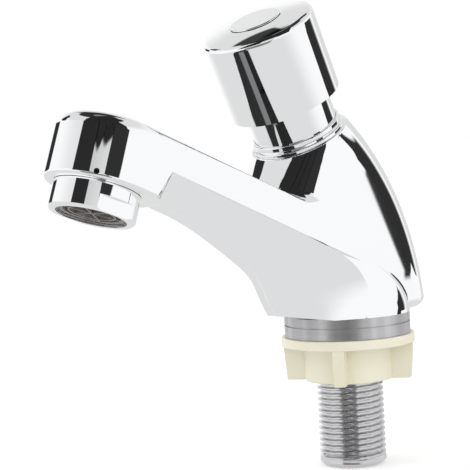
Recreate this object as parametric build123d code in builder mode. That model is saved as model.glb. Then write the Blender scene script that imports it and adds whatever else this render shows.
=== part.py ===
from build123d import *
import os
from math import asin, cos, radians, sin, sqrt

os.makedirs("parts", exist_ok=True)

# Push timed basin tap, in millimetres. The origin is on the axis of the threaded shank, in the
# plane of the basin deck that the base ring stands on. +Z is up and the spout points to -Y.
# A height "up the button" is measured along the tilted axis of the push button from z = 0, and a
# height "over the outlet" along the tilted axis of the outlet from the face of the aerator.

# Clearances shared by every piece
overrun = 2.0
fit_gap = 0.1
running_gap = 0.08
seal_gap = 0.05
flat_gap = 0.1

# Threaded shank, half inch pipe thread
thread_radius = 10.35
thread_pitch = 1.814
thread_depth = 1.0
thread_gap = 0.3
thread_top = 1.0
thread_count = 21
thread_crest_share = 0.22
shank_bore_radius = 7.0
shank_drop = 40.8
shank_end_chamfer = 1.2

# Base ring and its seal
base_ring_radius = 19.63
base_ring_height = 6.5
base_groove_height = 3.74
base_groove_width = 0.6
base_groove_depth = 0.5
deck_seal_inner_radius = 12.6
deck_seal_outer_radius = 17.4
deck_seal_depth = 1.6

# Back nut with its flange and four wings
nut_flange_radius = 20.85
nut_flange_thickness = 3.0
nut_hub_radius = 13.8
nut_height = 14.1
nut_wing_width = 3.6
nut_wing_count = 4
nut_wing_turn = 30.0
nut_wing_top_radius = 20.3
nut_wing_end_radius = 19.4
nut_edge_radius = 0.5
nut_travel = 26.0
slip_washer_radius = 15.5
slip_washer_thickness = 1.2
slip_washer_bore = 11.0

# Body and spout
flank = 15.0
outlet_reach = 105.7
outlet_drop_height = 44.05
outlet_tilt = 21.5
spout_top_height = 24.9
crease_height = 16.2
spout_run = 101.0
spout_top_rise = 1.1
tip_edge_radius = 4.0
tip_foot_radius = 1.0
faded_edge_radius = 0.2
edge_fade_run = 56.0
crease_radius = 1.6
tip_bottom_height = 7.7
tip_rear_radius = 16.9
tip_rear_spread = 2.4
keel_half_width = 1.3
nose_rise_reach = 19.0
nose_reach = 36.0
nose_rise = 3.1
ridge_radius = 91.0
ridge_centre_y = -59.8
ridge_centre_z = -3.4
ridge_rounding = 14.6
body_rear_edge = 3.0
shoulder_edge = 2.4

# Neck and push button
button_tilt = 26.3
button_foot_y = 11.8
neck_height = 69.2
neck_root_run = 75.5
neck_sweep_share = 0.33
flank_trim = 0.03

# Waterway in the body
chamber_floor = 30.0
chamber_radius = 11.4
pocket_radius = 9.55
pocket_height = 3.5
neck_bore_radius = 12.95
neck_bore_floor = 49.0
inlet_well_radius = 6.8
inlet_well_depth = 3.5
inlet_bore_radius = 4.5
inlet_bore_set_back = 2.0
inlet_bore_top = 29.0
spout_bore_radius = 4.0
spout_bore_height = 18.0
spout_bore_run = 93.0
shank_socket_top = 17.0
shank_washer_thickness = 1.2
filter_radius = 8.2
filter_thickness = 2.0
filter_hole_radius = 0.5
filter_hole_spacing = 1.8
filter_rim = 1.2

# Timing cartridge
cage_radius = 9.4
cage_top = 46.0
cage_inlet_radius = 6.6
seat_ledge = 39.0
seat_radius = 7.3
seat_thickness = 2.5
seat_hole_radius = 4.2
seat_lip = 0.4
port_radius = 1.6
port_height = 43.6
port_count = 6
cage_ring_height = 31.7
cage_ring_wire = 0.9
flange_radius = 11.3
flange_ring_height = 47.5
flange_ring_wire = 0.8
floor_top = 49.6
cylinder_radius = 10.2
cylinder_bore = 8.6
cylinder_top = 84.0
stem_ring_wire = 0.8
stem_ring_height = 48.0

# Spindle, piston and spring
button_travel = 8.0
stem_radius = 2.5
push_rod_radius = 4.0
push_rod_top = 103.0
piston_headroom = 9.4
piston_thickness = 5.0
piston_radius = 8.35
lip_seal_height = 1.6
lip_seal_thickness = 1.8
lip_seal_depth = 1.5
metering_hole_radius = 0.7
metering_pin_length = 10.0
metering_pin_sink = 0.5
metering_offset = 4.4
metering_slot_width = 0.3
metering_slot_depth = 0.3
valve_washer_radius = 6.0
valve_washer_thickness = 3.0
valve_screw_radius = 1.4
valve_screw_length = 9.0
valve_screw_head_radius = 3.0
valve_screw_head = 1.1
slot_width = 0.7
slot_depth = 0.5
spring_mean_radius = 5.9
spring_wire = 1.0
spring_turns = 7.5
spring_end_gap = 0.15

# Guide sleeve, its bush and the bezel ring
sleeve_radius = 12.87
sleeve_bore = 10.35
sleeve_top = 89.0
sleeve_lip = 1.0
sleeve_lip_bore = 8.0
bush_thickness = 3.6
bezel_radius = 14.3
bezel_step_radius = 13.7
bezel_height = 3.3
bezel_step_height = 1.7
bezel_neck_radius = 13.3
bezel_groove = 0.35
bezel_edge = 0.35

# Push cap and index disc
cap_radius = 17.04
cap_foot_radius = 16.85
cap_foot = 81.6
cap_rim = 106.6
cap_crown_rise = 1.9
cap_wall = 1.6
cap_top_wall = 3.0
cap_edge_radius = 1.6
cap_foot_edge = 0.8
cap_boss_radius = 7.0
cap_boss_foot = 98.0
disc_radius = 7.86
disc_recess_gap = 0.3
disc_thickness = 1.0
disc_edge = 0.3
screw_hole_radius = 2.1
screw_radius = 2.0
screw_length = 12.0
screw_head_radius = 3.8
screw_head_height = 1.4
screw_head_recess = 1.8
screw_socket_radius = 1.4
screw_socket_depth = 0.9

# Aerator
shell_radius = 12.04
shell_mouth_radius = 9.8
shell_bore = 10.4
shell_lip = 1.1
shell_edge = 0.5
skirt_radius = 11.3
skirt_top = 14.0
wrench_flat_distance = 10.75
wrench_flat_height = 4.2
wrench_flat_turn = 10.0
socket_radius = 11.4
outlet_cavity_radius = 8.8
outlet_cavity_top = 21.0
aerator_washer_thickness = 1.0
insert_radius = 9.1
insert_foot = 0.9
insert_height = 9.6
insert_bore = 7.9
insert_ring_count = 5
insert_ring_width = 0.5
insert_ring_height = 1.6
insert_spoke_width = 0.5
insert_spoke_count = 6
insert_rim_radius = 10.3
insert_rim_height = 1.4
screen_thickness = 0.6
screen_hole_radius = 0.55
screen_hole_spacing = 1.7
screen_rim = 1.4
lock_screw_radius = 0.7
lock_screw_height = 9.1
lock_screw_turn = 46.0
lock_screw_socket_radius = 0.4
lock_screw_socket_depth = 1.2

across = Vector(1, 0, 0)
full_turn = 360
half_turn = 180


def leaning(angle):
    """The direction that leans from straight up towards the spout by an angle."""
    return Vector(0, -sin(radians(angle)), cos(radians(angle)))


shank_frame = Plane.XY
button_frame = Plane(
    origin=(0, button_foot_y, 0), x_dir=across, z_dir=leaning(button_tilt)
)
outlet_frame = Plane(
    origin=(0, -outlet_reach, outlet_drop_height),
    x_dir=across,
    z_dir=leaning(-outlet_tilt),
)


def axis_of(frame):
    return Axis(frame.origin, frame.z_dir)


def section_plane(frame):
    """The plane through a frame's axis: its x is a radius and its y a height up the axis."""
    return Plane(
        origin=frame.origin, x_dir=across, z_dir=across.cross(frame.z_dir)
    )


def place(frame, y, z):
    """The point of a frame at a distance y along its second axis and z up its third."""
    return frame.origin + frame.y_dir * y + frame.z_dir * z


def turned(frame, *corners):
    """A solid of revolution from the corners, radius first, of its half section."""
    with BuildSketch(section_plane(frame)) as half:
        with BuildLine():
            Polyline(*corners, close=True)
        make_face()
    return revolve(half.sketch, axis=axis_of(frame), mode=Mode.PRIVATE)


def tube(frame, low, high, outer, inner=0):
    """A plain tube or rod between two heights of a frame."""
    return turned(frame, (inner, low), (outer, low), (outer, high), (inner, high))


def ring_seal(frame, height, outer, wire):
    """A round sealing ring that reaches the outer radius."""
    with BuildSketch(section_plane(frame)) as wire_section:
        with Locations((outer - wire, height)):
            Circle(wire)
    return revolve(wire_section.sketch, axis=axis_of(frame), mode=Mode.PRIVATE)


def save(piece, name):
    piece.label = name
    export_step(piece, "parts/" + name + ".step")


def top_height(run):
    """The height of the spout's top, which rises a little from the neck to the tip."""
    return spout_top_height + spout_top_rise * (1 - run / neck_root_run)


# Spout and neck front: the neck leans from the round rim to the spout and sweeps out over it in
# a hollow curve, and both are cut flush at the flanks.
neck_front = outlet_frame.to_local_coords(place(button_frame, -flank, neck_height))
neck_rise = neck_front.Z - top_height(neck_front.Y)
tip_height = top_height(0)
with BuildPart() as spout_and_neck:
    with BuildSketch(button_frame.offset(neck_height)):
        Circle(flank + flank_trim)
    with BuildSketch(outlet_frame.offset(crease_height)):
        with Locations((0, neck_root_run)):
            Circle(flank + flank_trim)
    loft()
    with BuildSketch(Plane.YZ.offset(-2 * flank)):
        with BuildLine():
            Polyline(
                *(
                    (corner.Y, corner.Z)
                    for corner in (
                        place(outlet_frame, 0, crease_height),
                        place(outlet_frame, spout_run, crease_height),
                        place(outlet_frame, spout_run, top_height(spout_run)),
                        place(outlet_frame, 0, tip_height),
                    )
                ),
                close=True,
            )
        make_face()
    extrude(amount=4 * flank)
    flat_faces = spout_and_neck.faces().filter_by(GeomType.PLANE)
    spout_top = flat_faces.sort_by(axis_of(outlet_frame))[-2]
    fillet(spout_top.inner_wires().edges(), neck_sweep_share * neck_rise)
    with BuildSketch(Plane.YZ.offset(-flank)):
        Rectangle(4 * outlet_reach, 4 * outlet_reach)
    extrude(amount=2 * flank, mode=Mode.INTERSECT)

# Hull: the lower body, from the V under the spout to the drop shape that stands on the base ring.
# Each row is a cut across it: the keel's place, the shoulder's place, the half width there and
# the rise of its back edge, as shares of the reach, the outlet's height, the reach, the outlet's
# height, the flank and the flank, and the angle that the ends of its sides lean back.
hull_shares = (
    (0.880, 1.108, 0.872, 1.283, 0.970, 0.060, 0),
    (0.811, 1.040, 0.782, 1.198, 0.970, 0.060, 0),
    (0.742, 0.972, 0.692, 1.113, 0.970, 0.070, 0),
    (0.583, 0.772, 0.470, 0.908, 0.970, 0.080, 0),
    (0.450, 0.560, 0.270, 0.724, 0.975, 0.150, 5),
    (0.392, 0.405, 0.075, 0.530, 1.100, 0.750, 20),
    (0.358, 0.262, 0.000, 0.330, 1.260, 1.120, 29),
)
foot_half_width = base_ring_radius + fit_gap
foot_nose_reach = 33.5


def hull_cut(keel, shoulder, half_width, rise, lean):
    """One closed cut: a narrow keel, two sides, and an arc at the back."""
    up = (shoulder - keel).normalized()
    depth = (shoulder - keel).length
    cut = Plane(origin=shoulder, x_dir=across, z_dir=across.cross(up))
    edge_x = half_width * cos(lean)
    edge_y = -half_width * sin(lean)
    with BuildSketch(cut) as outline:
        with BuildLine():
            ThreePointArc(
                (-keel_half_width, keel_half_width - depth),
                (0, -depth),
                (keel_half_width, keel_half_width - depth),
            )
            Line((keel_half_width, keel_half_width - depth), (edge_x, edge_y))
            ThreePointArc((edge_x, edge_y), (0, rise), (-edge_x, edge_y))
            Line((-edge_x, edge_y), (-keel_half_width, keel_half_width - depth))
        make_face()
    return outline.sketch


hull_cuts = [
    hull_cut(
        Vector(0, -keel_y * outlet_reach, keel_z * outlet_drop_height),
        Vector(0, -edge_y * outlet_reach, edge_z * outlet_drop_height),
        width * flank,
        rise * flank,
        radians(lean),
    )
    for keel_y, keel_z, edge_y, edge_z, width, rise, lean in hull_shares
]
foot_lean = asin((foot_half_width - keel_half_width) / foot_nose_reach)
hull_cuts.append(
    hull_cut(
        Vector(0, -foot_nose_reach, base_ring_height),
        Vector(0, 0, base_ring_height),
        foot_half_width,
        foot_half_width,
        foot_lean,
    )
)

# Tap body: one hollow brass casting, polished and plated.
neck_top = place(button_frame, 0, neck_height)
neck_root = place(outlet_frame, neck_root_run, top_height(neck_root_run))
rim_back = place(button_frame, flank, neck_height)
body_foot = base_ring_height
ridge_foot_y = ridge_centre_y + sqrt(
    ridge_radius**2 - (body_foot - ridge_centre_z) ** 2
)
rim_slope = button_frame.y_dir
rim_span = rim_back - Vector(0, ridge_centre_y, ridge_centre_z)
rim_reach = rim_span.dot(rim_slope)
rim_run = sqrt(rim_reach**2 - rim_span.dot(rim_span) + ridge_radius**2) - rim_reach
ridge_top = rim_back + rim_slope * rim_run
ridge_middle_z = (body_foot + ridge_top.Z) / 2
ridge_middle_y = ridge_centre_y + sqrt(
    ridge_radius**2 - (ridge_middle_z - ridge_centre_z) ** 2
)
inside_spout = place(outlet_frame, spout_run - flank, crease_height + crease_radius)
crease_end = place(outlet_frame, spout_run, crease_height)
inside_hull = Vector(0, base_ring_radius / 2, body_foot)

lock_turn = radians(lock_screw_turn)
lock_frame = Plane(
    origin=place(outlet_frame, 0, lock_screw_height),
    x_dir=outlet_frame.z_dir,
    z_dir=across * cos(lock_turn) - outlet_frame.y_dir * sin(lock_turn),
)


def edge_cut(run, side, radius):
    """What a rounded edge of the spout's top takes away, across the spout at a run along it."""
    cross = Plane(
        origin=place(outlet_frame, run, top_height(run)),
        x_dir=across,
        z_dir=-outlet_frame.y_dir,
    )
    with BuildSketch(cross) as corner:
        with BuildLine():
            Polyline(
                (side * (flank - radius), 0),
                (side * (flank - radius), overrun),
                (side * (flank + overrun), overrun),
                (side * (flank + overrun), -radius),
                (side * flank, -radius),
            )
            RadiusArc(
                (side * flank, -radius), (side * (flank - radius), 0), -side * radius
            )
        make_face()
    return corner.sketch


def tip_foot():
    """The lower part of the tip: its flat underside ends in a slanting step behind the outlet."""
    with BuildPart(mode=Mode.PRIVATE) as foot:
        for height, reach in (
            (tip_bottom_height, tip_rear_radius),
            (crease_height + crease_radius, tip_rear_radius + tip_rear_spread),
        ):
            with BuildSketch(outlet_frame.offset(height)):
                with BuildLine():
                    side_run = sqrt(reach**2 - flank**2)
                    ThreePointArc((flank, 0), (0, -flank), (-flank, 0))
                    Line((-flank, 0), (-flank, side_run))
                    ThreePointArc((-flank, side_run), (0, reach), (flank, side_run))
                    Line((flank, side_run), (flank, 0))
                make_face()
        loft()
        underside = foot.faces().sort_by(axis_of(outlet_frame))[0]
        fillet(underside.edges(), tip_foot_radius)
    return foot.part


with BuildPart() as tap_body:
    # The back of the body, between the flanks, with its rounded ridge
    with BuildSketch(Plane.YZ):
        with BuildLine():
            Polyline(
                (ridge_top.Y, ridge_top.Z),
                (neck_top.Y, neck_top.Z),
                (neck_root.Y, neck_root.Z),
                (inside_spout.Y, inside_spout.Z),
                (crease_end.Y, crease_end.Z),
                (inside_hull.Y, inside_hull.Z),
                (ridge_foot_y, body_foot),
            )
            ThreePointArc(
                (ridge_foot_y, body_foot),
                (ridge_middle_y, ridge_middle_z),
                (ridge_top.Y, ridge_top.Z),
            )
        make_face()
    extrude(amount=flank, both=True)
    ridge_edges = tap_body.edges().filter_by(GeomType.CIRCLE)
    fillet(ridge_edges, ridge_rounding)
    back_foot = tap_body.faces().sort_by(Axis.Z)[0]
    fillet(back_foot.edges().sort_by(Axis.Y)[1:], body_rear_edge)
    add(spout_and_neck.part)
    add(tip_foot())
    with BuildSketch(outlet_frame.offset(crease_height)):
        with BuildLine():
            ThreePointArc((flank, 0), (0, -flank), (-flank, 0))
            Line((-flank, 0), (flank, 0))
        make_face()
    extrude(amount=tip_height - crease_height)
    loft(hull_cuts)
    # The underside rises in front of the base ring
    with BuildSketch(Plane.YZ):
        with BuildLine():
            Polyline(
                (-nose_rise_reach, base_ring_height),
                (-nose_reach, base_ring_height + nose_rise),
                (-nose_reach - base_ring_height, base_ring_height + nose_rise),
                (-nose_reach - base_ring_height, 0),
                (-nose_rise_reach, 0),
                close=True,
            )
        make_face()
    extrude(amount=flank, both=True, mode=Mode.SUBTRACT)
    # The shoulder behind the bezel ring is rounded
    with BuildSketch(section_plane(button_frame)):
        with BuildLine():
            Polyline(
                (bezel_radius + fit_gap, neck_height),
                (bezel_radius + fit_gap, neck_height + overrun),
                (bezel_radius + shoulder_edge + overrun, neck_height + overrun),
                (bezel_radius + shoulder_edge + overrun, neck_height - shoulder_edge),
                (bezel_radius + shoulder_edge + fit_gap, neck_height - shoulder_edge),
            )
            RadiusArc(
                (bezel_radius + shoulder_edge + fit_gap, neck_height - shoulder_edge),
                (bezel_radius + fit_gap, neck_height),
                -shoulder_edge,
            )
        make_face()
    revolve(
        axis=axis_of(button_frame), revolution_arc=half_turn, mode=Mode.SUBTRACT
    )
    # The edge of the tip's top is round, and fades along the spout towards the neck
    with BuildSketch(section_plane(outlet_frame)):
        with BuildLine():
            Polyline(
                (flank - tip_edge_radius, tip_height),
                (flank - tip_edge_radius, tip_height + overrun),
                (flank + overrun, tip_height + overrun),
                (flank + overrun, tip_height - tip_edge_radius),
                (flank, tip_height - tip_edge_radius),
            )
            RadiusArc(
                (flank, tip_height - tip_edge_radius),
                (flank - tip_edge_radius, tip_height),
                -tip_edge_radius,
            )
        make_face()
    revolve(
        axis=axis_of(outlet_frame), revolution_arc=-half_turn, mode=Mode.SUBTRACT
    )
    for side in (1, -1):
        edge_cuts = [
            edge_cut(run, side, radius)
            for run, radius in ((0, tip_edge_radius), (edge_fade_run, faded_edge_radius))
        ]
        loft(edge_cuts, mode=Mode.SUBTRACT)
    # Waterway: the inlet, the chamber of the timing cartridge, the neck and the spout
    add(
        turned(
            button_frame,
            (0, chamber_floor - inlet_well_depth),
            (inlet_well_radius, chamber_floor - inlet_well_depth),
            (inlet_well_radius, chamber_floor),
            (pocket_radius, chamber_floor),
            (pocket_radius, chamber_floor + pocket_height),
            (chamber_radius, chamber_floor + pocket_height),
            (chamber_radius, neck_bore_floor),
            (neck_bore_radius, neck_bore_floor),
            (neck_bore_radius, neck_height + overrun),
            (0, neck_height + overrun),
        ),
        mode=Mode.SUBTRACT,
    )
    with BuildSketch(shank_frame.offset(shank_socket_top)):
        with Locations((0, -inlet_bore_set_back)):
            Circle(inlet_bore_radius)
    extrude(amount=inlet_bore_top - shank_socket_top, mode=Mode.SUBTRACT)
    add(
        turned(
            shank_frame,
            (0, 0),
            (thread_radius + fit_gap, 0),
            (thread_radius + fit_gap, shank_socket_top),
            (filter_radius + fit_gap, shank_socket_top),
            (filter_radius + fit_gap, shank_socket_top + filter_thickness),
            (0, shank_socket_top + filter_thickness),
        ),
        mode=Mode.SUBTRACT,
    )
    with BuildSketch(
        Plane(
            origin=place(outlet_frame, 0, spout_bore_height),
            x_dir=across,
            z_dir=outlet_frame.y_dir,
        )
    ):
        Circle(spout_bore_radius)
    extrude(amount=spout_bore_run, mode=Mode.SUBTRACT)
    add(
        turned(
            outlet_frame,
            (0, 0),
            (socket_radius, 0),
            (socket_radius, skirt_top + aerator_washer_thickness),
            (outlet_cavity_radius, skirt_top + aerator_washer_thickness),
            (outlet_cavity_radius, outlet_cavity_top),
            (0, outlet_cavity_top),
        ),
        mode=Mode.SUBTRACT,
    )
    # Threaded hole for the screw that locks the aerator
    with BuildSketch(lock_frame):
        Circle(lock_screw_radius + fit_gap)
    extrude(amount=flank + overrun, mode=Mode.SUBTRACT)
save(tap_body.part, "tap_body")

# Base ring: turned steel, with one groove around it and a recess below for the deck seal.
with BuildPart() as base_ring:
    seal_recess = deck_seal_depth + flat_gap
    groove_low = base_groove_height - base_groove_width / 2
    groove_high = base_groove_height + base_groove_width / 2
    groove_foot = base_ring_radius - base_groove_depth
    add(
        turned(
            shank_frame,
            (thread_radius + thread_gap, 0),
            (deck_seal_inner_radius - fit_gap, 0),
            (deck_seal_inner_radius - fit_gap, seal_recess),
            (deck_seal_outer_radius + fit_gap, seal_recess),
            (deck_seal_outer_radius + fit_gap, 0),
            (base_ring_radius, 0),
            (base_ring_radius, groove_low),
            (groove_foot, groove_low),
            (groove_foot, groove_high),
            (base_ring_radius, groove_high),
            (base_ring_radius, base_ring_height),
            (thread_radius + thread_gap, base_ring_height),
        )
    )
save(base_ring.part, "base_ring")

# Deck seal: a flat rubber ring that lies flush in the base ring's recess.
with BuildPart() as deck_seal:
    add(
        tube(
            shank_frame,
            0,
            deck_seal_depth,
            deck_seal_outer_radius,
            deck_seal_inner_radius,
        )
    )
save(deck_seal.part, "deck_seal")

# Threaded shank: a brass pipe, screwed up into the body, with a thread around its lower part.
shank_top = shank_socket_top - shank_washer_thickness
root_radius = thread_radius - thread_depth
thread_profile = []
for thread_index in range(thread_count):
    thread_foot = thread_top - (thread_count - thread_index) * thread_pitch
    thread_profile += [
        (thread_radius, thread_foot),
        (thread_radius, thread_foot + thread_pitch * thread_crest_share),
        (root_radius, thread_foot + thread_pitch / 2),
        (root_radius, thread_foot + thread_pitch * (1 / 2 + thread_crest_share)),
    ]
with BuildPart() as threaded_shank:
    add(
        turned(
            shank_frame,
            (shank_bore_radius, -shank_drop),
            (thread_radius - shank_end_chamfer, -shank_drop),
            (thread_radius, shank_end_chamfer - shank_drop),
            *thread_profile,
            (thread_radius, thread_top),
            (thread_radius, shank_top),
            (shank_bore_radius, shank_top),
        )
    )
save(threaded_shank.part, "threaded_shank")

# Shank washer: a fibre ring between the shank's end and the body.
with BuildPart() as shank_washer:
    add(tube(shank_frame, shank_top, shank_socket_top, thread_radius, shank_bore_radius))
save(shank_washer.part, "shank_washer")

# Inlet filter: a moulded disc with a grid of holes and a plain rim.
with BuildPart() as inlet_filter:
    with BuildSketch(shank_frame.offset(shank_socket_top)):
        Circle(filter_radius)
        filter_rows = int(2 * filter_radius / filter_hole_spacing)
        with GridLocations(
            filter_hole_spacing, filter_hole_spacing, filter_rows, filter_rows
        ) as filter_grid:
            filter_places = [
                spot.position
                for spot in filter_grid.locations
                if spot.position.length < filter_radius - filter_rim
            ]
        with Locations(*filter_places):
            Circle(filter_hole_radius, mode=Mode.SUBTRACT)
    extrude(amount=filter_thickness)
save(inlet_filter.part, "inlet_filter")

# Valve cage: a brass cup around the valve seat, with ports at the top and a ring groove below.
cage_ring_inner = cage_radius - 2 * cage_ring_wire + fit_gap
with BuildPart() as valve_cage:
    add(
        turned(
            button_frame,
            (cage_inlet_radius, chamber_floor),
            (cage_radius, chamber_floor),
            (cage_radius, cage_ring_height - cage_ring_wire),
            (cage_ring_inner, cage_ring_height - cage_ring_wire),
            (cage_ring_inner, cage_ring_height + cage_ring_wire),
            (cage_radius, cage_ring_height + cage_ring_wire),
            (cage_radius, cage_top),
            (seat_radius + fit_gap, cage_top),
            (seat_radius + fit_gap, seat_ledge),
            (cage_inlet_radius, seat_ledge),
        )
    )
    for port_index in range(port_count):
        port_turn = radians(full_turn * port_index / port_count)
        with BuildSketch(
            Plane(
                origin=place(button_frame, 0, port_height),
                x_dir=button_frame.z_dir,
                z_dir=across * cos(port_turn) + button_frame.y_dir * sin(port_turn),
            )
        ):
            Circle(port_radius)
        extrude(amount=cage_radius + overrun, mode=Mode.SUBTRACT)
save(valve_cage.part, "valve_cage")

# Cage ring: a round rubber ring that seals the cage in the body.
with BuildPart() as cage_o_ring:
    add(
        ring_seal(
            button_frame,
            cage_ring_height,
            pocket_radius - seal_gap,
            cage_ring_wire - seal_gap,
        )
    )
save(cage_o_ring.part, "cage_o_ring")

# Valve seat: a brass ring on the cage's ledge, with a raised lip below that the washer closes on.
with BuildPart() as valve_seat:
    add(
        turned(
            button_frame,
            (seat_hole_radius, seat_ledge),
            (seat_hole_radius + seat_lip, seat_ledge),
            (seat_hole_radius + 2 * seat_lip, seat_ledge + seat_lip),
            (cage_inlet_radius - fit_gap, seat_ledge + seat_lip),
            (cage_inlet_radius - fit_gap, seat_ledge),
            (seat_radius, seat_ledge),
            (seat_radius, seat_ledge + seat_thickness),
            (seat_hole_radius, seat_ledge + seat_thickness),
        )
    )
save(valve_seat.part, "valve_seat")

# Dashpot cylinder: a moulded tube with a flange and a floor that the stem passes through.
stem_hole = stem_radius + running_gap
stem_ring_outer = stem_radius + seal_gap + 2 * stem_ring_wire
flange_ring_inner = flange_radius - 2 * flange_ring_wire + fit_gap
with BuildPart() as dashpot_cylinder:
    add(
        turned(
            button_frame,
            (stem_hole, cage_top),
            (flange_radius, cage_top),
            (flange_radius, flange_ring_height - flange_ring_wire),
            (flange_ring_inner, flange_ring_height - flange_ring_wire),
            (flange_ring_inner, flange_ring_height + flange_ring_wire),
            (flange_radius, flange_ring_height + flange_ring_wire),
            (flange_radius, neck_bore_floor),
            (cylinder_radius, neck_bore_floor),
            (cylinder_radius, cylinder_top),
            (cylinder_bore, cylinder_top),
            (cylinder_bore, floor_top),
            (stem_hole, floor_top),
            (stem_hole, stem_ring_height + stem_ring_wire),
            (stem_ring_outer + seal_gap, stem_ring_height + stem_ring_wire),
            (stem_ring_outer + seal_gap, stem_ring_height - stem_ring_wire),
            (stem_hole, stem_ring_height - stem_ring_wire),
        )
    )
save(dashpot_cylinder.part, "dashpot_cylinder")

# Flange ring: a round rubber ring in the flange's groove.
with BuildPart() as flange_o_ring:
    add(
        ring_seal(
            button_frame,
            flange_ring_height,
            chamber_radius - seal_gap,
            flange_ring_wire - seal_gap,
        )
    )
save(flange_o_ring.part, "flange_o_ring")

# Stem seal: a round rubber ring in the floor, around the stem.
with BuildPart() as stem_seal:
    add(
        ring_seal(
            button_frame,
            stem_ring_height,
            stem_ring_outer,
            stem_ring_wire - seal_gap / 2,
        )
    )
save(stem_seal.part, "stem_seal")

# Return spring: stainless wire wound between the cylinder's floor and the piston.
bush_top = sleeve_top - sleeve_lip
bush_foot = bush_top - bush_thickness
piston_height = bush_foot - piston_headroom - piston_thickness
spring_foot = floor_top + spring_end_gap + spring_wire / 2
spring_reach = piston_height - spring_end_gap - spring_wire / 2 - spring_foot
with BuildPart() as return_spring:
    with BuildLine() as spring_path:
        Helix(
            pitch=spring_reach / spring_turns,
            height=spring_reach,
            radius=spring_mean_radius,
            center=place(button_frame, 0, spring_foot),
            direction=button_frame.z_dir,
        )
    with BuildSketch(Plane(origin=spring_path.line @ 0, z_dir=spring_path.line % 0)):
        Circle(spring_wire / 2)
    sweep()
save(return_spring.part, "return_spring")

# Guide sleeve: a plated brass tube that stands in the neck and guides the cap.
with BuildPart() as guide_sleeve:
    add(
        turned(
            button_frame,
            (sleeve_bore, neck_bore_floor),
            (sleeve_radius, neck_bore_floor),
            (sleeve_radius, sleeve_top),
            (sleeve_lip_bore, sleeve_top),
            (sleeve_lip_bore, bush_top),
            (sleeve_bore, bush_top),
        )
    )
save(guide_sleeve.part, "guide_sleeve")

# Guide bush: a moulded ring under the sleeve's lip that the push rod slides in.
with BuildPart() as guide_bush:
    add(
        tube(
            button_frame,
            bush_foot,
            bush_top,
            sleeve_bore - seal_gap,
            push_rod_radius + running_gap,
        )
    )
save(guide_bush.part, "guide_bush")

# Bezel ring: a plated ring in two steps that covers the gap between the neck and the sleeve.
bezel_step = neck_height + bezel_step_height
bezel_top = neck_height + bezel_height
with BuildPart() as bezel_ring:
    add(
        turned(
            button_frame,
            (sleeve_radius + running_gap, neck_height),
            (bezel_radius, neck_height),
            (bezel_radius, bezel_step - bezel_groove),
            (bezel_neck_radius, bezel_step - bezel_groove),
            (bezel_neck_radius, bezel_step),
            (bezel_step_radius, bezel_step),
            (bezel_step_radius, bezel_top),
            (sleeve_radius + running_gap, bezel_top),
        )
    )
    bezel_circles = bezel_ring.edges().filter_by(GeomType.CIRCLE)
    outer_edges = bezel_circles.filter_by(
        lambda edge: edge.radius > bezel_neck_radius + bezel_groove / 2
    )
    fillet(outer_edges, bezel_edge)
save(bezel_ring.part, "bezel_ring")

# Spindle: one turned rod, a stem with a blind threaded hole below and a wider push rod above.
valve_foot = seat_ledge - seal_gap
valve_thread_top = valve_foot - valve_washer_thickness + valve_screw_length
with BuildPart() as spindle:
    add(
        turned(
            button_frame,
            (valve_screw_radius + seal_gap, valve_foot),
            (stem_radius, valve_foot),
            (stem_radius, piston_height + piston_thickness),
            (push_rod_radius, piston_height + piston_thickness),
            (push_rod_radius, push_rod_top),
            (screw_radius + seal_gap, push_rod_top),
            (screw_radius + seal_gap, push_rod_top - screw_length),
            (0, push_rod_top - screw_length),
            (0, valve_thread_top),
            (valve_screw_radius + seal_gap, valve_thread_top),
        )
    )
save(spindle.part, "spindle")

# Piston: a moulded disc on the stem, with a groove for its lip seal and a small bleed hole.
lip_low = piston_height + lip_seal_height
lip_high = lip_low + lip_seal_thickness
piston_top = piston_height + piston_thickness
with BuildPart() as piston:
    add(
        turned(
            button_frame,
            (stem_radius + seal_gap, piston_height),
            (piston_radius, piston_height),
            (piston_radius, lip_low),
            (piston_radius - lip_seal_depth, lip_low),
            (piston_radius - lip_seal_depth, lip_high),
            (piston_radius, lip_high),
            (piston_radius, piston_top),
            (stem_radius + seal_gap, piston_top),
        )
    )
    with BuildSketch(button_frame.offset(piston_height)):
        with Locations((metering_offset, 0)):
            Circle(metering_hole_radius)
    extrude(amount=piston_thickness, mode=Mode.SUBTRACT)
save(piston.part, "piston")

# Piston lip seal: a rubber ring with a V shaped lip that rubs on the cylinder.
lip_outer = cylinder_bore - seal_gap
lip_inner = piston_radius - lip_seal_depth + seal_gap
lip_middle = (lip_inner + lip_outer) / 2
with BuildPart() as piston_lip_seal:
    add(
        turned(
            button_frame,
            (lip_inner, lip_low + seal_gap),
            (lip_outer, lip_low + seal_gap),
            (lip_middle, lip_low + lip_seal_thickness / 2),
            (lip_outer - seal_gap, lip_high - seal_gap),
            (lip_inner, lip_high - seal_gap),
        )
    )
save(piston_lip_seal.part, "piston_lip_seal")

# Metering pin: a steel pin with a slot down its side that bleeds the dashpot through the piston.
pin_radius = metering_hole_radius - seal_gap
with BuildPart() as metering_pin:
    with BuildSketch(button_frame.offset(piston_top - metering_pin_sink)):
        with Locations((metering_offset, 0)):
            Circle(pin_radius)
        with Locations((metering_offset + pin_radius, 0)):
            Rectangle(2 * metering_slot_depth, metering_slot_width, mode=Mode.SUBTRACT)
    extrude(amount=-metering_pin_length)
save(metering_pin.part, "metering_pin")

# Valve washer: the rubber disc that closes on the seat.
with BuildPart() as valve_washer:
    add(
        tube(
            button_frame,
            valve_foot - valve_washer_thickness,
            valve_foot,
            valve_washer_radius,
            valve_screw_radius + seal_gap,
        )
    )
save(valve_washer.part, "valve_washer")

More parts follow.
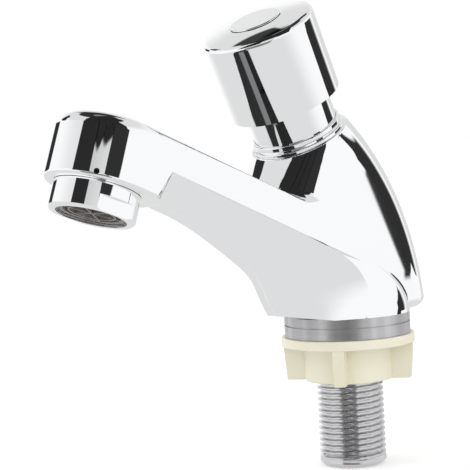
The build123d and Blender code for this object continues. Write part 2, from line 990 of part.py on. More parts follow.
# Valve screw: a slotted screw that holds the washer on the spindle.
head_top = valve_foot - valve_washer_thickness
head_foot = head_top - valve_screw_head
with BuildPart() as valve_screw:
    add(
        turned(
            button_frame,
            (0, head_foot),
            (valve_screw_head_radius, head_foot),
            (valve_screw_head_radius, head_top),
            (valve_screw_radius, head_top),
            (valve_screw_radius, head_top + valve_screw_length - flat_gap),
            (0, head_top + valve_screw_length - flat_gap),
        )
    )
    with BuildSketch(button_frame.offset(head_foot)):
        Rectangle(2 * valve_screw_head_radius + overrun, slot_width)
    extrude(amount=slot_depth, mode=Mode.SUBTRACT)
save(valve_screw.part, "valve_screw")

# Push cap: a plated cap with a domed top, a round edge, a recess for the index disc and a boss
# inside that the push rod stands in.
crown_top = cap_rim + cap_crown_rise
disc_floor = crown_top - disc_thickness
recess_radius = disc_radius + disc_recess_gap
crown_radius = (cap_foot_radius**2 + cap_crown_rise**2) / (2 * cap_crown_rise)
ceiling = cap_rim - cap_top_wall
with BuildPart() as push_cap:
    with BuildSketch(section_plane(button_frame)):
        with BuildLine():
            Line((0, cap_foot), (cap_foot_radius, cap_foot))
            Line((cap_foot_radius, cap_foot), (cap_radius, cap_rim))
            ThreePointArc(
                (cap_radius, cap_rim),
                (
                    cap_radius / 2,
                    crown_top
                    - crown_radius
                    + sqrt(crown_radius**2 - (cap_radius / 2) ** 2),
                ),
                (0, crown_top),
            )
            Line((0, crown_top), (0, cap_foot))
        make_face()
    revolve(axis=axis_of(button_frame))
    rim_edge = (
        push_cap.edges()
        .filter_by(GeomType.CIRCLE)
        .filter_by(lambda edge: edge.radius > cap_radius - seal_gap)
    )
    fillet(rim_edge, cap_edge_radius)
    add(
        turned(
            button_frame,
            (cap_boss_radius, cap_foot - overrun),
            (cap_foot_radius - cap_foot_edge, cap_foot - overrun),
            (cap_foot_radius - cap_foot_edge, cap_foot),
            (cap_foot_radius - cap_wall, cap_foot + cap_foot_edge),
            (cap_foot_radius - cap_wall, ceiling),
            (cap_boss_radius, ceiling),
        ),
        mode=Mode.SUBTRACT,
    )
    add(
        tube(button_frame, cap_foot - overrun, cap_boss_foot, cap_boss_radius + overrun),
        mode=Mode.SUBTRACT,
    )
    add(
        turned(
            button_frame,
            (0, cap_boss_foot),
            (push_rod_radius + seal_gap, cap_boss_foot),
            (push_rod_radius + seal_gap, push_rod_top),
            (screw_hole_radius, push_rod_top),
            (screw_hole_radius, disc_floor - screw_head_recess),
            (screw_head_radius + fit_gap, disc_floor - screw_head_recess),
            (screw_head_radius + fit_gap, disc_floor),
            (recess_radius, disc_floor),
            (recess_radius, crown_top + overrun),
            (0, crown_top + overrun),
        ),
        mode=Mode.SUBTRACT,
    )
save(push_cap.part, "push_cap")

# Index disc: a plain plated disc pressed into the cap's top over the screw.
with BuildPart() as index_disc:
    add(tube(button_frame, disc_floor, crown_top, disc_radius))
    top_edges = index_disc.edges().sort_by(axis_of(button_frame))
    fillet(top_edges[-1], disc_edge)
save(index_disc.part, "index_disc")

# Cap screw: a socket screw that holds the cap on the push rod.
cap_head_foot = disc_floor - screw_head_recess
cap_head_top = cap_head_foot + screw_head_height
cap_thread_foot = push_rod_top - screw_length + flat_gap
with BuildPart() as cap_screw:
    add(
        turned(
            button_frame,
            (0, cap_thread_foot),
            (screw_radius, cap_thread_foot),
            (screw_radius, cap_head_foot),
            (screw_head_radius, cap_head_foot),
            (screw_head_radius, cap_head_top),
            (0, cap_head_top),
        )
    )
    with BuildSketch(button_frame.offset(cap_head_top - screw_socket_depth)):
        RegularPolygon(screw_socket_radius, 6)
    extrude(amount=screw_socket_depth, mode=Mode.SUBTRACT)
save(cap_screw.part, "cap_screw")

# Aerator shell: a plated ring with a threaded skirt and two flats for a wrench.
shell_top = tip_bottom_height - flat_gap
flat_turn = radians(wrench_flat_turn)
flat_dir = across * cos(flat_turn) - outlet_frame.y_dir * sin(flat_turn)
with BuildPart() as aerator_shell:
    add(
        turned(
            outlet_frame,
            (shell_mouth_radius, 0),
            (shell_radius - shell_edge, 0),
            (shell_radius, shell_edge),
            (shell_radius, shell_top),
            (skirt_radius, shell_top),
            (skirt_radius, skirt_top),
            (shell_bore, skirt_top),
            (shell_bore, shell_lip),
            (shell_mouth_radius, shell_lip),
        )
    )
    for side in (1, -1):
        flat_frame = Plane(
            origin=outlet_frame.origin + flat_dir * (side * wrench_flat_distance),
            x_dir=outlet_frame.z_dir,
            z_dir=flat_dir * side,
        )
        with BuildSketch(flat_frame):
            Rectangle(2 * wrench_flat_height, 2 * shell_radius)
        extrude(amount=shell_radius, mode=Mode.SUBTRACT)
save(aerator_shell.part, "aerator_shell")

# Aerator insert: a moulded cup whose open face holds thin rings on spokes.
rim_foot = shell_lip
insert_top = insert_foot + insert_height
with BuildPart() as aerator_insert:
    add(
        turned(
            outlet_frame,
            (insert_bore, insert_foot),
            (insert_radius, insert_foot),
            (insert_radius, rim_foot),
            (insert_rim_radius, rim_foot),
            (insert_rim_radius, rim_foot + insert_rim_height),
            (insert_radius, rim_foot + insert_rim_height),
            (insert_radius, insert_top),
            (insert_bore, insert_top),
        )
    )
    with BuildSketch(outlet_frame.offset(insert_foot)):
        for ring_index in range(insert_ring_count):
            ring_outer = insert_bore * (ring_index + 1) / (insert_ring_count + 1)
            Circle(ring_outer)
            Circle(ring_outer - insert_ring_width, mode=Mode.SUBTRACT)
        with PolarLocations((insert_bore + fit_gap) / 2, insert_spoke_count):
            Rectangle(insert_bore + fit_gap, insert_spoke_width)
    extrude(amount=insert_ring_height)
save(aerator_insert.part, "aerator_insert")

# Aerator screen: a thin perforated disc on the insert's inner end.
with BuildPart() as aerator_screen:
    with BuildSketch(outlet_frame.offset(insert_top)):
        Circle(insert_rim_radius)
        screen_rows = int(2 * insert_rim_radius / screen_hole_spacing)
        with GridLocations(
            screen_hole_spacing, screen_hole_spacing, screen_rows, screen_rows
        ) as screen_grid:
            screen_places = [
                spot.position
                for spot in screen_grid.local_locations
                if spot.position.length < insert_rim_radius - screen_rim
            ]
        with Locations(*screen_places):
            Circle(screen_hole_radius, mode=Mode.SUBTRACT)
    extrude(amount=screen_thickness)
save(aerator_screen.part, "aerator_screen")

# Aerator washer: a flat rubber ring between the skirt and the body.
with BuildPart() as aerator_washer:
    add(
        tube(
            outlet_frame,
            skirt_top,
            skirt_top + aerator_washer_thickness,
            skirt_radius,
            outlet_cavity_radius,
        )
    )
save(aerator_washer.part, "aerator_washer")

# Aerator lock screw: a small set screw through the side of the tip against the skirt.
with BuildPart() as aerator_lock_screw:
    with BuildSketch(lock_frame.offset(skirt_radius)):
        Circle(lock_screw_radius)
    extrude(amount=flank - skirt_radius - flat_gap)
    with BuildSketch(lock_frame.offset(flank - lock_screw_socket_depth)):
        RegularPolygon(lock_screw_socket_radius, 6)
    extrude(amount=lock_screw_socket_depth, mode=Mode.SUBTRACT)
save(aerator_lock_screw.part, "aerator_lock_screw")

# Slip washer: a thin ring in the nut's recess, between the nut and the deck.
nut_top = -flat_gap
slip_foot = nut_top - slip_washer_thickness
with BuildPart() as slip_washer:
    add(tube(shank_frame, slip_foot, nut_top, slip_washer_radius, slip_washer_bore))
save(slip_washer.part, "slip_washer")

# Back nut: a moulded nut with a flange, a hub and four wings to turn it by.
nut_foot = nut_top - nut_height
wing_top = nut_top - nut_flange_thickness
with BuildPart() as back_nut:
    with BuildSketch(shank_frame.offset(wing_top)):
        Circle(nut_flange_radius)
    extrude(amount=nut_flange_thickness)
    fillet(back_nut.edges().filter_by(GeomType.CIRCLE), nut_edge_radius)
    with BuildSketch(shank_frame.offset(nut_foot)):
        Circle(nut_hub_radius)
    extrude(amount=nut_height)
    for wing_index in range(nut_wing_count):
        wing_angle = nut_wing_turn + full_turn * wing_index / nut_wing_count
        wing_turn = radians(wing_angle)
        wing_plane = Plane(
            origin=(0, 0, 0),
            x_dir=Vector(cos(wing_turn), sin(wing_turn), 0),
            z_dir=Vector(sin(wing_turn), -cos(wing_turn), 0),
        )
        with BuildSketch(wing_plane):
            with BuildLine():
                Polyline(
                    (nut_hub_radius / 2 + thread_radius / 2, nut_foot),
                    (nut_wing_end_radius, nut_foot),
                    (nut_wing_top_radius, wing_top),
                    (nut_hub_radius / 2 + thread_radius / 2, wing_top),
                    close=True,
                )
            make_face()
        extrude(amount=nut_wing_width / 2, both=True)
    bottom = back_nut.faces().sort_by(Axis.Z)[0]
    fillet(bottom.edges(), nut_edge_radius)
    add(
        turned(
            shank_frame,
            (0, nut_foot - overrun),
            (thread_radius + thread_gap, nut_foot - overrun),
            (thread_radius + thread_gap, slip_foot),
            (slip_washer_radius + fit_gap, slip_foot),
            (slip_washer_radius + fit_gap, 0),
            (0, 0),
        ),
        mode=Mode.SUBTRACT,
    )
save(back_nut.part, "back_nut")
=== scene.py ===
import math
import bpy
from mathutils import Matrix, Vector


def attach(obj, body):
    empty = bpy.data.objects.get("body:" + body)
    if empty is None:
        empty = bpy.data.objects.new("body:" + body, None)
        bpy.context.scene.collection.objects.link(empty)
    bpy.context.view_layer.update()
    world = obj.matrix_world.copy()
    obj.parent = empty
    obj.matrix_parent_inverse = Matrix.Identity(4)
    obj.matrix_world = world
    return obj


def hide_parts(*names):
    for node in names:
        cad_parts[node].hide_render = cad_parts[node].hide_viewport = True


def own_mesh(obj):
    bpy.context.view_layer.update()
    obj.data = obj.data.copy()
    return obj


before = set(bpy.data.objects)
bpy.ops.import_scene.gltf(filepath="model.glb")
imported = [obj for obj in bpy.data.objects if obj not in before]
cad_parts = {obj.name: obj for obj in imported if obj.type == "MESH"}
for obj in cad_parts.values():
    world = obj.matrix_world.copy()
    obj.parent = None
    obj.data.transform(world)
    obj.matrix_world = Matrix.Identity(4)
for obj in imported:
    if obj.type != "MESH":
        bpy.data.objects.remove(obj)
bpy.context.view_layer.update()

# Tap body: one brass casting with the base, the hull, the spout and the neck. It is ground and
# polished all over and then plated, so its faces are mirrors with only the faintest haze.


def new_finish(name, colour, metallic, roughness):
    """A material with one principled shader, and what its nodes are joined to."""
    material = bpy.data.materials.new(name)
    material.use_nodes = True
    shader = material.node_tree.nodes["Principled BSDF"]
    shader.inputs["Base Color"].default_value = (*colour, 1)
    shader.inputs["Metallic"].default_value = metallic
    shader.inputs["Roughness"].default_value = roughness
    return material, material.node_tree, shader


def grain(tree, scale, detail=3.0, stretch=(1, 1, 1)):
    """The value of a noise that lies in the piece's own coordinates, in metres."""
    place = tree.nodes.new("ShaderNodeTexCoord")
    spread = tree.nodes.new("ShaderNodeMapping")
    spread.inputs["Scale"].default_value = stretch
    noise = tree.nodes.new("ShaderNodeTexNoise")
    noise.inputs["Scale"].default_value = scale
    noise.inputs["Detail"].default_value = detail
    tree.links.new(place.outputs["Object"], spread.inputs["Vector"])
    tree.links.new(spread.outputs["Vector"], noise.inputs["Vector"])
    return noise.outputs["Fac"]


def vary_roughness(tree, shader, value, low, high):
    """The roughness follows a value between two limits."""
    limits = tree.nodes.new("ShaderNodeMapRange")
    limits.inputs["To Min"].default_value = low
    limits.inputs["To Max"].default_value = high
    tree.links.new(value, limits.inputs["Value"])
    tree.links.new(limits.outputs["Result"], shader.inputs["Roughness"])


def vary_colour(tree, shader, value, dark, light, dark_below=0.35, light_above=0.65):
    """The colour follows a value between a dark and a light shade."""
    ramp = tree.nodes.new("ShaderNodeValToRGB")
    dark_end, light_end = ramp.color_ramp.elements
    dark_end.position = dark_below
    dark_end.color = (*dark, 1)
    light_end.position = light_above
    light_end.color = (*light, 1)
    tree.links.new(value, ramp.inputs["Fac"])
    tree.links.new(ramp.outputs["Color"], shader.inputs["Base Color"])


def raise_grain(tree, shader, value, height):
    """The surface rises and falls with a value, by a height in metres."""
    bump = tree.nodes.new("ShaderNodeBump")
    bump.inputs["Distance"].default_value = height
    tree.links.new(value, bump.inputs["Height"])
    tree.links.new(bump.outputs["Normal"], shader.inputs["Normal"])


def dress(material, *nodes):
    """The CAD nodes take a material."""
    for node in nodes:
        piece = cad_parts[node]
        piece.data.materials.clear()
        piece.data.materials.append(material)


plating, plating_tree, plating_shader = new_finish(
    "polished_plating", colour=(0.945, 0.95, 0.96), metallic=1.0, roughness=0.03
)
vary_roughness(
    plating_tree, plating_shader, grain(plating_tree, scale=60), low=0.006, high=0.02
)
dress(plating, "tap_body")

# Base ring and deck seal: the ring is turned steel with fine tool marks around it and one groove,
# and stands between the body and the deck on a flat black rubber seal.

turned_steel, steel_tree, steel_shader = new_finish(
    "turned_steel", colour=(0.42, 0.42, 0.43), metallic=1.0, roughness=0.3
)
tool_marks = grain(steel_tree, scale=900, detail=2.0, stretch=(0.02, 0.02, 1))
vary_roughness(steel_tree, steel_shader, tool_marks, low=0.22, high=0.42)
vary_colour(
    steel_tree,
    steel_shader,
    grain(steel_tree, scale=140, detail=2.0, stretch=(1, 1, 0.02)),
    dark=(0.4, 0.4, 0.41),
    light=(0.62, 0.62, 0.63),
)
raise_grain(steel_tree, steel_shader, tool_marks, height=0.00002)
dress(turned_steel, "base_ring")

rubber, rubber_tree, rubber_shader = new_finish(
    "black_rubber", colour=(0.02, 0.02, 0.021), metallic=0.0, roughness=0.7
)
vary_roughness(rubber_tree, rubber_shader, grain(rubber_tree, scale=300), low=0.6, high=0.85)
dress(
    rubber,
    "deck_seal",
    "cage_o_ring",
    "flange_o_ring",
    "stem_seal",
    "aerator_washer",
    "piston_lip_seal",
    "valve_washer",
)

# Threaded shank: a brass pipe, plated, with a half inch pipe thread cut around it from the lower
# end up. It is screwed into the body against a fibre washer, under a moulded inlet filter.

thread_pitch = 0.001814
thread_crest = 0.01035
thread_root = 0.0092
thread_low = -0.0385
thread_high = -0.0004
shank_low = -0.0408
shank_high = 0.0158
shank_bore = 0.007
end_chamfer = 0.0012
ridge_height_share = 1.75
ridge_slope_share = 5.5
sharp_from_degrees = 32
around_steps = 120
rise_steps_per_turn = 14


def thread_radius(turn, height):
    """The radius of the thread at a share of a turn and a height."""
    phase = ((height - thread_low) / thread_pitch - turn) % 1
    ridge = min(1, max(0, ridge_height_share - abs(phase - 0.5) * ridge_slope_share))
    runout = min(1, (height - thread_low) / thread_pitch, (thread_high - height) / thread_pitch)
    depth = (thread_crest - thread_root) * max(0, runout)
    return thread_crest - depth * (1 - ridge)


thread_rows = int((thread_high - thread_low) / thread_pitch * rise_steps_per_turn)
row_heights = [shank_low, shank_low + end_chamfer, thread_low]
row_heights += [
    thread_low + (thread_high - thread_low) * row / thread_rows
    for row in range(1, thread_rows)
]
row_heights += [thread_high, shank_high, shank_high, shank_low]
bore_rows = 2
shank_points = []
for row, height in enumerate(row_heights):
    for step in range(around_steps):
        turn = step / around_steps
        if row == 0:
            radius = thread_crest - end_chamfer
        elif row >= len(row_heights) - bore_rows:
            radius = shank_bore
        elif thread_low < height < thread_high:
            radius = thread_radius(turn, height)
        else:
            radius = thread_crest
        angle = 2 * math.pi * turn
        shank_points.append((radius * math.cos(angle), radius * math.sin(angle), height))
shank_faces = []
for row in range(len(row_heights)):
    above = (row + 1) % len(row_heights)
    for step in range(around_steps):
        beside = (step + 1) % around_steps
        shank_faces.append(
            (
                row * around_steps + step,
                row * around_steps + beside,
                above * around_steps + beside,
                above * around_steps + step,
            )
        )
shank_mesh = bpy.data.meshes.new("helical_thread")
shank_mesh.from_pydata(shank_points, [], shank_faces)
for face in shank_mesh.polygons:
    face.use_smooth = True
shank_mesh.set_sharp_from_angle(angle=math.radians(sharp_from_degrees))
helical_shank = bpy.data.objects.new("helical_shank", shank_mesh)
bpy.context.scene.collection.objects.link(helical_shank)

bright_thread, thread_tree, thread_shader = new_finish(
    "bright_thread", colour=(0.66, 0.66, 0.67), metallic=1.0, roughness=0.26
)
vary_roughness(thread_tree, thread_shader, grain(thread_tree, scale=60), low=0.14, high=0.2)
shank_mesh.materials.append(bright_thread)
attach(helical_shank, "tap")
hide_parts("threaded_shank")
dress(bright_thread, "threaded_shank")

fibre, fibre_tree, fibre_shader = new_finish(
    "red_fibre", colour=(0.28, 0.09, 0.05), metallic=0.0, roughness=0.8
)
vary_colour(
    fibre_tree,
    fibre_shader,
    grain(fibre_tree, scale=900, detail=4.0),
    dark=(0.22, 0.07, 0.04),
    light=(0.34, 0.12, 0.07),
)
dress(fibre, "shank_washer", "slip_washer")

filter_plastic, filter_tree, filter_shader = new_finish(
    "filter_plastic", colour=(0.72, 0.72, 0.7), metallic=0.0, roughness=0.5
)
vary_roughness(filter_tree, filter_shader, grain(filter_tree, scale=200), low=0.4, high=0.6)
dress(filter_plastic, "inlet_filter")

# Back nut: an ivory nut moulded in acetal, with a flange, a hub and four wings. It is turned up
# the shank by hand from under the deck.

ivory, ivory_tree, ivory_shader = new_finish(
    "ivory_acetal", colour=(0.84, 0.81, 0.66), metallic=0.0, roughness=0.35
)
vary_colour(
    ivory_tree,
    ivory_shader,
    grain(ivory_tree, scale=45, detail=2.0),
    dark=(0.81, 0.775, 0.6),
    light=(0.86, 0.835, 0.7),
)
vary_roughness(ivory_tree, ivory_shader, grain(ivory_tree, scale=500), low=0.3, high=0.45)
light_into_ivory = 0.15
light_reach_in_ivory = (0.003, 0.0025, 0.0015)
ivory_shader.inputs["Subsurface Weight"].default_value = light_into_ivory
ivory_shader.inputs["Subsurface Radius"].default_value = light_reach_in_ivory
dress(ivory, "back_nut")

# Timing cartridge: a machined brass cage and seat, and above them a moulded cylinder, pressed
# down into the body's chamber by the sleeve.

raw_brass, brass_tree, brass_shader = new_finish(
    "machined_brass", colour=(0.71, 0.5, 0.22), metallic=1.0, roughness=0.25
)
turning_marks = grain(brass_tree, scale=700, detail=2.0, stretch=(0.05, 0.05, 1))
vary_roughness(brass_tree, brass_shader, turning_marks, low=0.18, high=0.36)
dress(raw_brass, "valve_cage", "valve_seat", "spindle")

white_plastic, white_tree, white_shader = new_finish(
    "moulded_white", colour=(0.78, 0.78, 0.75), metallic=0.0, roughness=0.4
)
vary_roughness(white_tree, white_shader, grain(white_tree, scale=250), low=0.32, high=0.5)
dress(white_plastic, "dashpot_cylinder", "guide_bush")

# Return spring and metering pin: drawn stainless wire and rod. The spring stands on the
# cylinder's floor, and the piston shortens it when the button is pressed.

drawn_steel, drawn_tree, drawn_shader = new_finish(
    "drawn_steel", colour=(0.6, 0.6, 0.6), metallic=1.0, roughness=0.28
)
vary_roughness(drawn_tree, drawn_shader, grain(drawn_tree, scale=800), low=0.2, high=0.36)
dress(drawn_steel, "return_spring", "metering_pin")

spring_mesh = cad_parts["return_spring"].data.copy()
spring_wire = bpy.data.objects.new("spring_wire", spring_mesh)
bpy.context.scene.collection.objects.link(spring_wire)
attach(spring_wire, "tap")
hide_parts("return_spring")
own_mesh(spring_wire)

# Sleeve and bezel ring: a plated brass tube that stands in the neck, and the plated ring in two
# steps that closes the gap around it.

dress(plating, "guide_sleeve", "bezel_ring")

# Piston and screws: a moulded black piston on the spindle, and the plain machined steel screws
# that hold the valve washer and the cap.

black_plastic, black_tree, black_shader = new_finish(
    "moulded_black", colour=(0.03, 0.03, 0.032), metallic=0.0, roughness=0.45
)
vary_roughness(black_tree, black_shader, grain(black_tree, scale=300), low=0.35, high=0.55)
dress(black_plastic, "piston")

screw_steel, screw_tree, screw_shader = new_finish(
    "screw_steel", colour=(0.4, 0.4, 0.41), metallic=1.0, roughness=0.3
)
vary_roughness(screw_tree, screw_shader, grain(screw_tree, scale=900), low=0.22, high=0.4)
dress(screw_steel, "valve_screw", "cap_screw")

# Push cap and index disc: a plated cap that slides over the sleeve when it is pressed, and the
# plain plated disc that is pressed into its top over the screw.

dress(plating, "push_cap", "index_disc")

# Aerator: a plated shell screwed into the tip, around a moulded insert with thin rings on spokes
# and a perforated steel screen, and held by a small set screw in the side of the tip, painted
# near black all over as painted shade for its dark hex socket.

dress(plating, "aerator_shell")

# The set screw's near black colour is painted shade: it stands for the dark of its hex socket.
painted_shade_steel, shade_steel_tree, shade_steel_shader = new_finish(
    "painted_shade_steel", colour=(0.03, 0.03, 0.03), metallic=1.0, roughness=0.5
)
vary_roughness(shade_steel_tree, shade_steel_shader, grain(shade_steel_tree, scale=900), low=0.4, high=0.6)
dress(painted_shade_steel, "aerator_lock_screw")

insert_plastic, insert_tree, insert_shader = new_finish(
    "insert_plastic", colour=(0.2, 0.185, 0.175), metallic=0.0, roughness=0.45
)
vary_colour(
    insert_tree,
    insert_shader,
    grain(insert_tree, scale=350, detail=2.0),
    dark=(0.17, 0.155, 0.145),
    light=(0.24, 0.225, 0.215),
)
dress(insert_plastic, "aerator_insert")

screen_steel, screen_tree, screen_shader = new_finish(
    "screen_steel", colour=(0.45, 0.45, 0.45), metallic=1.0, roughness=0.35
)
vary_roughness(screen_tree, screen_shader, grain(screen_tree, scale=1200), low=0.3, high=0.5)
dress(screen_steel, "aerator_screen")

# Floor: a wide pale plane that the shank stands on. It takes the tap's shadow, glows a little to
# the camera, and stays out of the plating's reflections.

floor_reach = 6.0
floor_clearance = 0.0002
floor_shade = 0.8
floor_glow_level = 0.3
floor_height = shank_low - floor_clearance
floor_mesh = bpy.data.meshes.new("floor")
floor_mesh.from_pydata(
    [
        (-floor_reach, -floor_reach, floor_height),
        (floor_reach, -floor_reach, floor_height),
        (floor_reach, floor_reach, floor_height),
        (-floor_reach, floor_reach, floor_height),
    ],
    [],
    [(0, 1, 2, 3)],
)
floor = bpy.data.objects.new("floor", floor_mesh)
bpy.context.scene.collection.objects.link(floor)
floor.visible_glossy = False
pale_floor = bpy.data.materials.new("pale_floor")
pale_floor.use_nodes = True
floor_tree = pale_floor.node_tree
floor_tree.nodes.clear()
floor_ray = floor_tree.nodes.new("ShaderNodeLightPath")
floor_paint = floor_tree.nodes.new("ShaderNodeBsdfDiffuse")
floor_paint.inputs["Color"].default_value = (floor_shade, floor_shade, floor_shade, 1)
floor_glow = floor_tree.nodes.new("ShaderNodeEmission")
floor_glow_strength = floor_tree.nodes.new("ShaderNodeMath")
floor_glow_strength.operation = "MULTIPLY"
floor_glow_strength.inputs[1].default_value = floor_glow_level
floor_sum = floor_tree.nodes.new("ShaderNodeAddShader")
floor_out = floor_tree.nodes.new("ShaderNodeOutputMaterial")
floor_tree.links.new(floor_ray.outputs["Is Camera Ray"], floor_glow_strength.inputs[0])
floor_tree.links.new(floor_glow_strength.outputs[0], floor_glow.inputs["Strength"])
floor_tree.links.new(floor_paint.outputs[0], floor_sum.inputs[0])
floor_tree.links.new(floor_glow.outputs[0], floor_sum.inputs[1])
floor_tree.links.new(floor_sum.outputs[0], floor_out.inputs["Surface"])
floor_mesh.materials.append(pale_floor)

# Studio: a white tent all around, with dark cards in it that the plating shows as dark strips,
# and a greyer tent below. The cards only show in gloss.

world = bpy.data.worlds.new("white_tent")
bpy.context.scene.world = world
world.use_nodes = True
tent = world.node_tree
tent.nodes.clear()


def sum_up(operation, first, second=None):
    """One arithmetic step on two values of the tent."""
    step = tent.nodes.new("ShaderNodeMath")
    step.operation = operation
    for socket, value in zip(step.inputs, (first, second)):
        if value is None:
            continue
        if isinstance(value, (int, float)):
            socket.default_value = value
        else:
            tent.links.new(value, socket)
    return step.outputs[0]


def soft_step(value, low, high, start=0.0, end=1.0):
    """A value that turns smoothly from start to end between two limits."""
    step = tent.nodes.new("ShaderNodeMapRange")
    step.interpolation_type = "SMOOTHSTEP"
    step.inputs["From Min"].default_value = low
    step.inputs["From Max"].default_value = high
    step.inputs["To Min"].default_value = start
    step.inputs["To Max"].default_value = end
    tent.links.new(value, step.inputs["Value"])
    return step.outputs["Result"]


def inside(value, low, high, softness):
    """One between two limits and zero outside them."""
    rise = soft_step(value, low - softness, low + softness)
    fall = soft_step(value, high - softness, high + softness, 1.0, 0.0)
    return sum_up("MULTIPLY", rise, fall)


def slanted(value, low, high, start, end):
    """A value that runs straight from start to end between two limits of another."""
    line = tent.nodes.new("ShaderNodeMapRange")
    line.inputs["From Min"].default_value = low
    line.inputs["From Max"].default_value = high
    line.inputs["To Min"].default_value = start
    line.inputs["To Max"].default_value = end
    tent.links.new(value, line.inputs["Value"])
    return line.outputs["Result"]


ray_place = tent.nodes.new("ShaderNodeTexCoord")
ray_parts = tent.nodes.new("ShaderNodeSeparateXYZ")
tent.links.new(ray_place.outputs["Generated"], ray_parts.inputs[0])
forward = sum_up("MULTIPLY", ray_parts.outputs["Y"], -1)
azimuth = sum_up("DEGREES", sum_up("ARCTAN2", ray_parts.outputs["X"], forward))
elevation = sum_up("DEGREES", sum_up("ARCSINE", ray_parts.outputs["Z"]))

# Each card: from and to in azimuth, the elevation of its foot at both ends, that of its top at
# both ends, softness and brightness. The azimuth counts from the front towards the right side.
cards = (
    (-14, 28, 12, 12, 95, 95, 0.6, 0.03),
    (26.5, 44.5, 33.8, 30.75, 95, 95, 0.15, 0.03),
    (43.5, 63, 30.9, 25.6, 95, 95, 0.15, 0.03),
    (62, 92.5, 16, 13.4, 95, 95, 0.5, 0.03),
    (91, 150, 56, 62, 95, 95, 1.5, 0.03),
    (148, 182, 68, 68, 95, 95, 2.0, 0.05),
    (28, 62, 10, 10, 34, 28, 0.8, 0.74),
    (-182, -120, 53, 54, 79.5, 79.5, 1.5, 0.04),
    (-121, -12, 54, 62, 79.5, 79.5, 1.2, 0.04),
    (-182, -12, 79, 79, 95, 95, 0.8, 0.3),
    (-122, -104, 51, 46, 56, 56, 1.0, 0.06),
    (-109, -87, 0, 2, 10, 19, 0.8, 0.03),
    (-91, -71, 22, 24, 40, 40, 0.8, 0.03),
    (-182, -140, -12, -12, 24, 24, 2.0, 0.74),
    (2, 62, -30, -30, 3, 3, 3.0, 0.25),
)
grey_tent = 0.76
grey_below, white_from = -22, -3
white_to, grey_above = 22, 40
level = sum_up(
    "MULTIPLY",
    soft_step(elevation, grey_below, white_from, grey_tent, 1.0),
    soft_step(elevation, white_to, grey_above, 1.0, grey_tent),
)
for low, high, foot, far_foot, top, far_top, softness, brightness in cards:
    above_foot = sum_up("SUBTRACT", elevation, slanted(azimuth, low, high, foot, far_foot))
    below_top = sum_up("SUBTRACT", slanted(azimuth, low, high, top, far_top), elevation)
    card = sum_up(
        "MULTIPLY",
        inside(azimuth, low, high, softness),
        sum_up(
            "MULTIPLY",
            soft_step(above_foot, -softness, softness),
            soft_step(below_top, -softness, softness),
        ),
    )
    dimmed = sum_up("SUBTRACT", 1, sum_up("MULTIPLY", card, 1 - brightness))
    level = sum_up("MULTIPLY", level, dimmed)

# The card behind on the right leans: its left edge, its foot and its top all slant. Each line is
# from and to in one angle, and what the other angle is there.
left_edge_below = (-4.98, -1.76, 142.92, 141.79)
left_edge_above = (-1.5, 2.5, 0, 4.2)
foot_line = (143, 157, -5.25, -2.5)
top_line = (144, 170, 6, 13)
fade_from, fade_to = 166, 176
edge_softness = 0.05
foot_softness = 0.12
top_softness = 0.6
leaning_card_depth = 0.97
lean = sum_up(
    "ADD", slanted(elevation, *left_edge_below), slanted(elevation, *left_edge_above)
)
past_edge = soft_step(sum_up("SUBTRACT", azimuth, lean), -edge_softness, edge_softness)
before_end = soft_step(azimuth, fade_from, fade_to, 1.0, 0.0)
over_foot = soft_step(
    sum_up("SUBTRACT", elevation, slanted(azimuth, *foot_line)), -foot_softness, foot_softness
)
under_top = soft_step(
    sum_up("SUBTRACT", slanted(azimuth, *top_line), elevation), -top_softness, top_softness
)
leaning_card = sum_up(
    "MULTIPLY",
    sum_up("MULTIPLY", past_edge, before_end),
    sum_up("MULTIPLY", over_foot, under_top),
)
dimmed = sum_up("SUBTRACT", 1, sum_up("MULTIPLY", leaning_card, leaning_card_depth))
level = sum_up("MULTIPLY", level, dimmed)

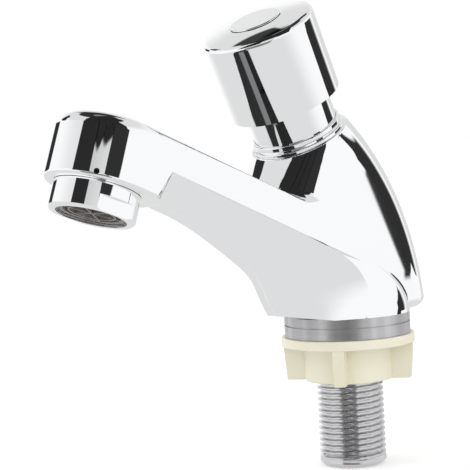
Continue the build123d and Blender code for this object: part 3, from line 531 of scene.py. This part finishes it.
ray_kind = tent.nodes.new("ShaderNodeLightPath")
in_gloss = sum_up(
    "MAXIMUM", ray_kind.outputs["Is Glossy Ray"], ray_kind.outputs["Is Transmission Ray"]
)
soft_light = 0.96
shown = tent.nodes.new("ShaderNodeMix")
shown.inputs["A"].default_value = soft_light
tent.links.new(in_gloss, shown.inputs["Factor"])
tent.links.new(level, shown.inputs["B"])
seen = tent.nodes.new("ShaderNodeMix")
seen.inputs["B"].default_value = 1.0
tent.links.new(ray_kind.outputs["Is Camera Ray"], seen.inputs["Factor"])
tent.links.new(shown.outputs["Result"], seen.inputs["A"])
tent_glow = tent.nodes.new("ShaderNodeBackground")
tent_glow.inputs["Color"].default_value = (1, 1, 1, 1)
tent_out = tent.nodes.new("ShaderNodeOutputWorld")
tent.links.new(seen.outputs["Result"], tent_glow.inputs["Strength"])
tent.links.new(tent_glow.outputs[0], tent_out.inputs["Surface"])

# Lamps: one large soft lamp above the front left and a weaker one on the right, both aimed at
# the middle of the tap. Each has its place and width in metres and its power in watts.

lamps = (
    ("key_lamp", (-0.45, -0.55, 0.75), 0.7, 2.6),
    ("side_lamp", (0.8, -0.2, 0.35), 0.7, 1.2),
)
lamp_aim = Vector((0, -0.03, 0.03))
for name, place, width, power in lamps:
    lamp_data = bpy.data.lights.new(name, "AREA")
    lamp_data.size = width
    lamp_data.energy = power
    lamp = bpy.data.objects.new(name, lamp_data)
    lamp.location = place
    lamp.rotation_euler = (lamp_aim - lamp.location).to_track_quat("-Z", "Y").to_euler()
    lamp.visible_glossy = False
    bpy.context.scene.collection.objects.link(lamp)

# Camera: it stands to the right of the front, a little above the deck, and leans slightly.

camera_azimuth = math.radians(42.643)
camera_elevation = math.radians(3.547)
camera_roll = math.radians(-2.939)
camera_distance = 0.5
camera_target = Vector((0, -0.04958, 0.03474))
pixels_to_focus = 1722.28
picture_pixels = 470
film_width = 36
nearest_shown = 0.01
back = Vector(
    (
        math.sin(camera_azimuth) * math.cos(camera_elevation),
        -math.cos(camera_azimuth) * math.cos(camera_elevation),
        math.sin(camera_elevation),
    )
)
level_right = Vector((math.cos(camera_azimuth), math.sin(camera_azimuth), 0))
level_up = back.cross(level_right)
right = level_right * math.cos(camera_roll) + level_up * math.sin(camera_roll)
up = level_up * math.cos(camera_roll) - level_right * math.sin(camera_roll)
camera_data = bpy.data.cameras.new("camera")
camera_data.sensor_width = film_width
camera_data.lens = pixels_to_focus / picture_pixels * film_width
camera_data.clip_start = nearest_shown
camera = bpy.data.objects.new("camera", camera_data)
camera.matrix_world = Matrix.Translation(camera_target + back * camera_distance) @ (
    Matrix((right, up, back)).transposed().to_4x4()
)
bpy.context.scene.collection.objects.link(camera)
bpy.context.scene.camera = camera
bpy.context.scene.view_settings.view_transform = "Standard"
